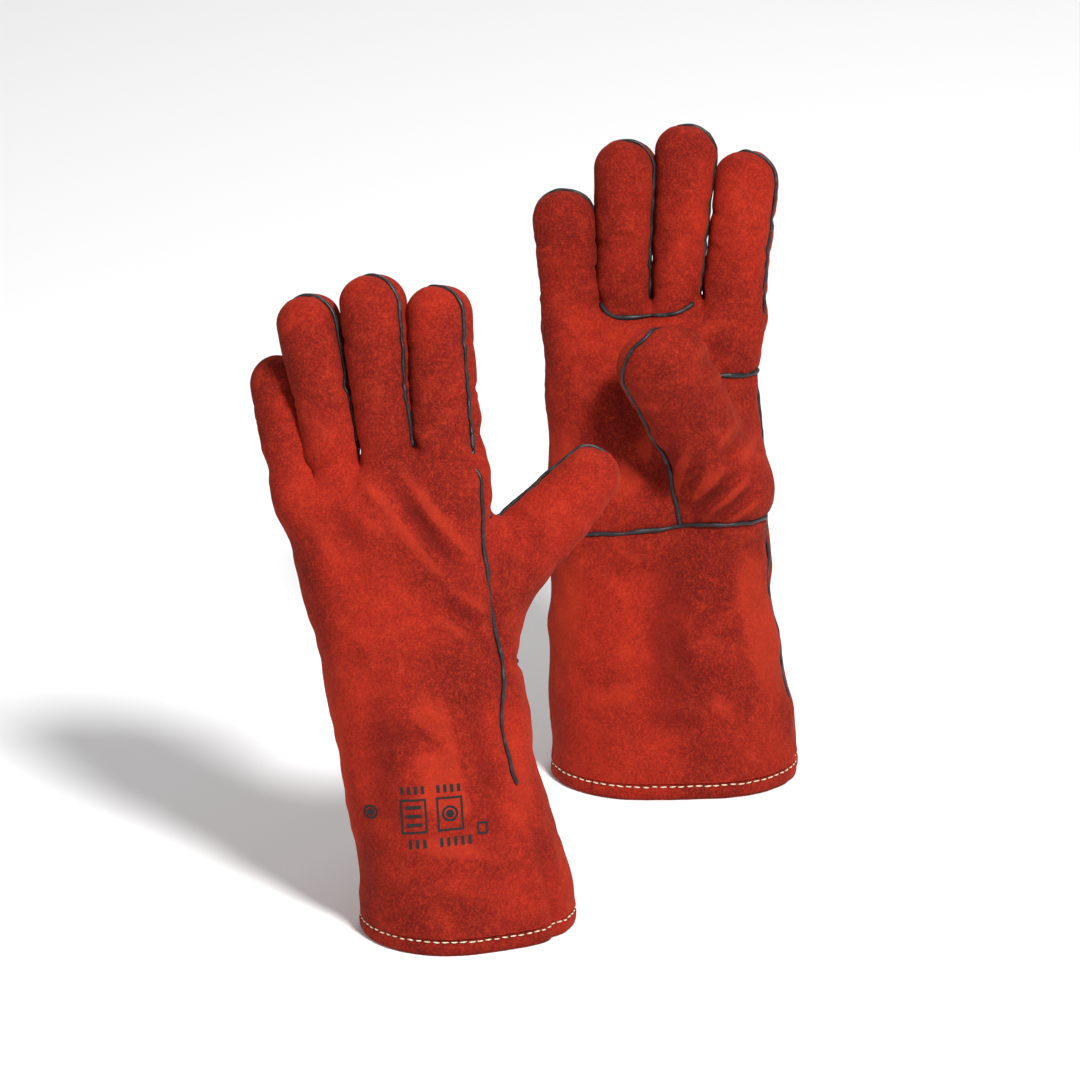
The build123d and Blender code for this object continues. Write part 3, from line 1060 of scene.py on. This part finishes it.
def print_block(side, skin):
    """The print as a thin layer of ink lying on the leather."""
    glove = GLOVES[side]
    me = skin.data
    corners_of = [list(face.vertices) for face in me.polygons]
    leather = BVHTree.FromPolygons([v.co.copy() for v in me.vertices], corners_of)
    inward = Vector(row_turn([0.0, 1.0, 0.0]).tolist())
    cx, cz = PRINT_CENTRE
    verts, faces = [], []
    for quad in print_shapes():
        corners = []
        for x, z in quad:
            dx, dz = x - cx, z - cz
            x = dx * cos(PRINT_TILT) - dz * sin(PRINT_TILT) + cx
            z = dx * sin(PRINT_TILT) + dz * cos(PRINT_TILT) + cz
            start = Vector(to_row(glove, [x, -120.0, z]).tolist())
            at, normal, _, _ = leather.ray_cast(start, inward, 0.2)
            if at is None:
                break
            corners.append(at + normal * INK_LIFT)
        if len(corners) == 4:
            faces.append([len(verts) + k for k in range(4)])
            verts += corners
    o = put(f"{side}_print", verts, faces, smooth=False)
    bm = bmesh.new()
    bm.from_mesh(o.data)
    bmesh.ops.remove_doubles(bm, verts=bm.verts, dist=0.00003)
    bm.to_mesh(o.data)
    bm.free()
    paint(o, INK)
    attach(o, f"{side}_cuff")


# Panels that cover more or other CAD nodes than the one they are named after.
STANDS_FOR = {"back_panel": ("cuff_back", "hand_back")}


def build_glove(side, seed):
    """All the pieces of one glove."""
    glove = GLOVES[side]
    points, faces, normals, f = make_skin(side, 0.0, STEP)
    seams = seams_of(side, f)
    used, points, faces = cut_at_floor(glove, points, faces, CUT_HEIGHT)
    normals = normals[used]
    centres = points[faces].mean(1)
    face_digit = nearest_digit(glove, centres)
    label = panel_of(glove, centres, face_digit, seams)
    moved, near = relief(glove, points, normals, list(seams.values()), seed)
    final = settle(glove, moved)
    smooth = vertex_normals(final, faces)
    for panel in sorted(set(label)):
        keep = label == panel
        used, own = part_of(final, faces, keep)
        o = put_on(glove, f"{side}_{panel}", final[used], own, smooth[used])
        give(o, "seam", np.exp(-((near[used] / 3.2) ** 2)))
        give(o, "shade", crease_depth(glove, points[used]))
        paint(o, SUEDE)
        digit, _, face = panel.rpartition("_")
        bend(o, side, digit if face in ("front", "back") else panel)
        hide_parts(*(f"{side}_{n}" for n in STANDS_FOR.get(panel, (panel,))))
    piping_strips(side, seams, f, seed)
    rim = to_row(glove, final[rim_of(faces)]) * 1000
    hem_fold(side, rim, inwards(rim), seed)
    hem_thread(side, rim, inwards(rim), seed)
    lining_pieces(side, seed)


# ------------------------ materials
class Look:
    """A material as a few shader nodes."""

    def __init__(self, name):
        self.material = bpy.data.materials.new(name)
        self.material.use_nodes = True
        self.tree = self.material.node_tree
        self.shader = self.tree.nodes["Principled BSDF"]
        self.where = self.add("ShaderNodeTexCoord").outputs["Object"]

    def add(self, kind, **values):
        """A node with its settings and inputs by name, with _ for a space."""
        node = self.tree.nodes.new(kind)
        for key, value in values.items():
            if hasattr(node, key) and key not in node.inputs:
                setattr(node, key, value)
            else:
                node.inputs[key.replace("_", " ")].default_value = value
        return node

    def put(self, value, socket):
        """Feeds a socket with a colour, a number or another node's output."""
        if isinstance(value, tuple):
            socket.default_value = (*value, 1.0)
        elif isinstance(value, (int, float)):
            socket.default_value = value
        else:
            self.tree.links.new(value, socket)

    def set(self, **values):
        """The shader's inputs by name, with _ for a space."""
        for name, value in values.items():
            self.put(value, self.shader.inputs[name.replace("_", " ")])

    def noise(self, scale, detail, rough, stretch=None, distortion=0.0):
        n = self.add("ShaderNodeTexNoise", Scale=scale, Detail=detail)
        n.inputs["Roughness"].default_value = rough
        n.inputs["Distortion"].default_value = distortion
        where = self.where
        if stretch:
            m = self.add("ShaderNodeMapping", Scale=stretch)
            self.put(where, m.inputs["Vector"])
            where = m.outputs["Vector"]
        self.put(where, n.inputs["Vector"])
        return n.outputs["Fac"]

    def band(self, source, low, high, a=0.0, b=1.0):
        """Goes smoothly from a to b while the source goes from low to high."""
        span = {"From_Min": low, "From_Max": high, "To_Min": a, "To_Max": b}
        m = self.add("ShaderNodeMapRange", interpolation_type="SMOOTHSTEP", **span)
        self.put(source, m.inputs["Value"])
        return m.outputs["Result"]

    def times(self, a, b):
        m = self.add("ShaderNodeMath", operation="MULTIPLY")
        self.put(a, m.inputs[0])
        self.put(b, m.inputs[1])
        return m.outputs["Value"]

    def mix(self, factor, a, b):
        m = self.add("ShaderNodeMix", data_type="RGBA")
        for value, k in ((factor, 0), (a, 6), (b, 7)):
            self.put(value, m.inputs[k])
        return m.outputs[2]

    def attribute(self, name):
        return self.add("ShaderNodeAttribute", attribute_name=name).outputs["Fac"]

    def bump(self, height, strength, distance, after=None):
        b = self.add("ShaderNodeBump", Strength=strength, Distance=distance)
        self.put(height, b.inputs["Height"])
        if after is not None:
            self.put(after, b.inputs["Normal"])
        return b.outputs["Normal"]


def suede(name, dark, mid, light, pale):
    look = Look(name)
    broad = look.noise(16.0, 3.0, 0.55)
    patch = look.noise(60.0, 4.0, 0.6, distortion=0.6)
    nap = look.noise(950.0, 5.0, 0.72)
    hair = look.noise(2300.0, 3.0, 0.75, stretch=(1.0, 1.0, 0.35))
    fleck = look.noise(300.0, 5.0, 0.7)
    base = look.mix(look.band(broad, 0.34, 0.66, 0.22, 1.0), dark, mid)
    for noise, low, high, most, colour in (
        (patch, 0.48, 0.78, 0.30, light),
        (patch, 0.46, 0.28, 0.35, dark),
        (fleck, 0.48, 0.72, 0.30, light),
        (fleck, 0.46, 0.30, 0.22, dark),
        (nap, 0.46, 0.68, 0.45, light),
        (nap, 0.50, 0.36, 0.40, dark),
        (hair, 0.60, 0.78, 0.40, pale),
    ):
        base = look.mix(look.band(noise, low, high, 0.0, most), base, colour)
    edge = look.times(look.attribute("seam"), look.band(patch, 0.3, 0.7, 0.25, 1.0))
    base = look.mix(look.times(edge, 0.35), base, dark)
    base = look.mix(look.band(look.attribute("shade"), 0.2, 2.2, 0.0, 0.50), base, dark)
    base = look.mix(look.band(look.attribute("shade"), -0.05, -0.7, 0.0, 0.35), base, light)
    look.set(Base_Color=base, Roughness=look.band(nap, 0.3, 0.7, 0.82, 0.98))
    look.set(Specular_IOR_Level=0.08, Sheen_Weight=0.16, Sheen_Roughness=0.45, Sheen_Tint=pale)
    n = look.bump(patch, 0.35, 0.0012)
    n = look.bump(nap, 0.55, 0.0006, n)
    look.set(Normal=look.bump(hair, 0.35, 0.00025, n))
    return look.material


def piping_leather():
    look = Look("black_welt_leather")
    grain = look.noise(900.0, 4.0, 0.6)
    scuff = look.noise(160.0, 4.0, 0.65)
    base = look.mix(look.band(scuff, 0.5, 0.75), (0.008, 0.007, 0.009), (0.045, 0.040, 0.046))
    look.set(Base_Color=base, Roughness=look.band(scuff, 0.3, 0.7, 0.38, 0.62))
    look.set(Specular_IOR_Level=0.45, Normal=look.bump(grain, 0.4, 0.0003))
    return look.material


def thread_look():
    look = Look("hem_thread")
    ply = look.noise(1800.0, 2.0, 0.5)
    base = look.mix(look.band(ply, 0.35, 0.65), (0.50, 0.36, 0.22), (0.86, 0.74, 0.56))
    look.set(Base_Color=base, Roughness=0.75, Normal=look.bump(ply, 0.5, 0.0002))
    return look.material


def lining_look(name, a, b, weave):
    look = Look(name)
    fluff = look.noise(240.0, 5.0, 0.7)
    fine = look.noise(1300.0, 2.0, 0.7)
    base = look.mix(look.band(fluff, 0.35, 0.65), a, b)
    n = look.bump(fluff, 0.5, 0.0012)
    if weave:
        w = look.add("ShaderNodeTexWave", Scale=420.0, Distortion=1.0)
        look.put(look.where, w.inputs["Vector"])
        n = look.bump(w.outputs["Fac"], 0.4, 0.0004, n)
    look.set(Base_Color=base, Roughness=0.95, Sheen_Weight=0.4)
    look.set(Normal=look.bump(fine, 0.5, 0.0003, n))
    return look.material


def ink_look():
    look = Look("worn_ink")
    wear = look.noise(700.0, 4.0, 0.7)
    base = look.mix(look.band(wear, 0.62, 0.82), (0.007, 0.005, 0.005), (0.22, 0.035, 0.02))
    look.set(Base_Color=base, Roughness=0.9, Normal=look.bump(wear, 0.5, 0.0004))
    return look.material


SUEDE = suede(
    "red_split_suede",
    dark=(0.085, 0.005, 0.004),
    mid=(0.265, 0.014, 0.007),
    light=(0.500, 0.038, 0.014),
    pale=(0.66, 0.105, 0.042),
)
PIPING = piping_leather()
THREAD = thread_look()
FLEECE = lining_look("fleece", (0.58, 0.54, 0.46), (0.80, 0.77, 0.70), False)
CANVAS = lining_look("canvas", (0.50, 0.45, 0.36), (0.72, 0.67, 0.57), True)
INK = ink_look()


# ------------------------ build
for side, seed in (("right", 100), ("left", 200)):
    build_glove(side, seed)
print_block("left", bpy.data.objects["left_back_panel"])


# ------------------------ studio
def stage_floor():
    bpy.ops.mesh.primitive_plane_add(size=30, location=(0, 0, 0))
    floor = bpy.context.object
    floor.name = "floor"
    look = Look("floor")
    look.set(Base_Color=(0.88, 0.88, 0.88), Roughness=0.9, Specular_IOR_Level=0.1)
    paint(floor, look.material)


def area(name, location, target, size, power):
    light = bpy.data.lights.new(name, "AREA")
    light.shape = "DISK"
    light.size = size
    light.energy = power
    o = bpy.data.objects.new(name, light)
    o.location = location
    o.rotation_euler = (Vector(target) - Vector(location)).to_track_quat("-Z", "Y").to_euler()
    bpy.context.scene.collection.objects.link(o)


stage_floor()
world = bpy.data.worlds.new("studio")
world.use_nodes = True
world.node_tree.nodes["Background"].inputs["Color"].default_value = (1, 1, 1, 1)
world.node_tree.nodes["Background"].inputs["Strength"].default_value = 0.28
bpy.context.scene.world = world
area("key", (0.75, -1.30, 1.95), (0.02, 0, 0.15), 0.5, 80)
area("fill", (-1.7, -0.8, 0.9), (0, 0, 0.15), 0.8, 7)
area("rim", (0.4, 1.6, 1.6), (0, 0, 0.2), 1.0, 14)

camera_data = bpy.data.cameras.new("camera")
camera = bpy.data.objects.new("camera", camera_data)
bpy.context.scene.collection.objects.link(camera)
camera_data.lens = 500
camera_data.sensor_width = 36
camera_data.clip_end = 100
ELEVATION = radians(20)
DISTANCE = 7.76
aim = Vector((0.0068, 0, 0.1655))
camera.location = aim + Vector((0, -cos(ELEVATION), sin(ELEVATION))) * DISTANCE
camera.rotation_euler = (pi / 2 - ELEVATION, 0, 0)
bpy.context.scene.camera = camera
bpy.context.scene.view_settings.view_transform = "Standard"
